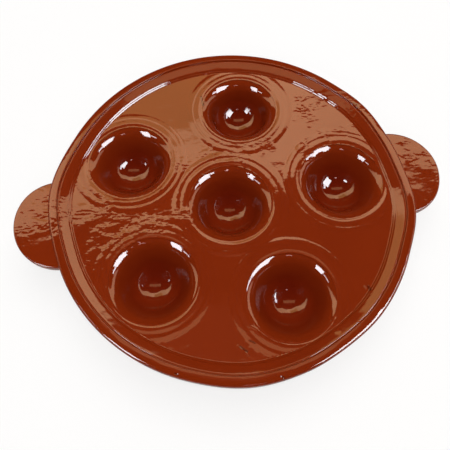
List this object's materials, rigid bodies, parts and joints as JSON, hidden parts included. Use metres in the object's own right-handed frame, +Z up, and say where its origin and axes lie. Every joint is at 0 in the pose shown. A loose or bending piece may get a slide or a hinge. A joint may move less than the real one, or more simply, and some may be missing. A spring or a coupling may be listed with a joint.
{
  "type": "egg plate",
  "caption": "Round glazed earthenware plate with round wells that each hold an egg, a grooved rolled rim and flat ear handles.",
  "frame": {"origin": "centre of the middle well's flat foot, on the surface that the plate stands on", "axes": "+Z up; +X from the middle well through the first outer well to the right ear"},
  "size_m": [0.2638, 0.22, 0.033],
  "materials": {
    "glaze": "glossy clear honey glaze on red earthenware"
  },
  "bodies": {
    "root": {"egg_plate": "glaze"}
  },
  "joints": []
}
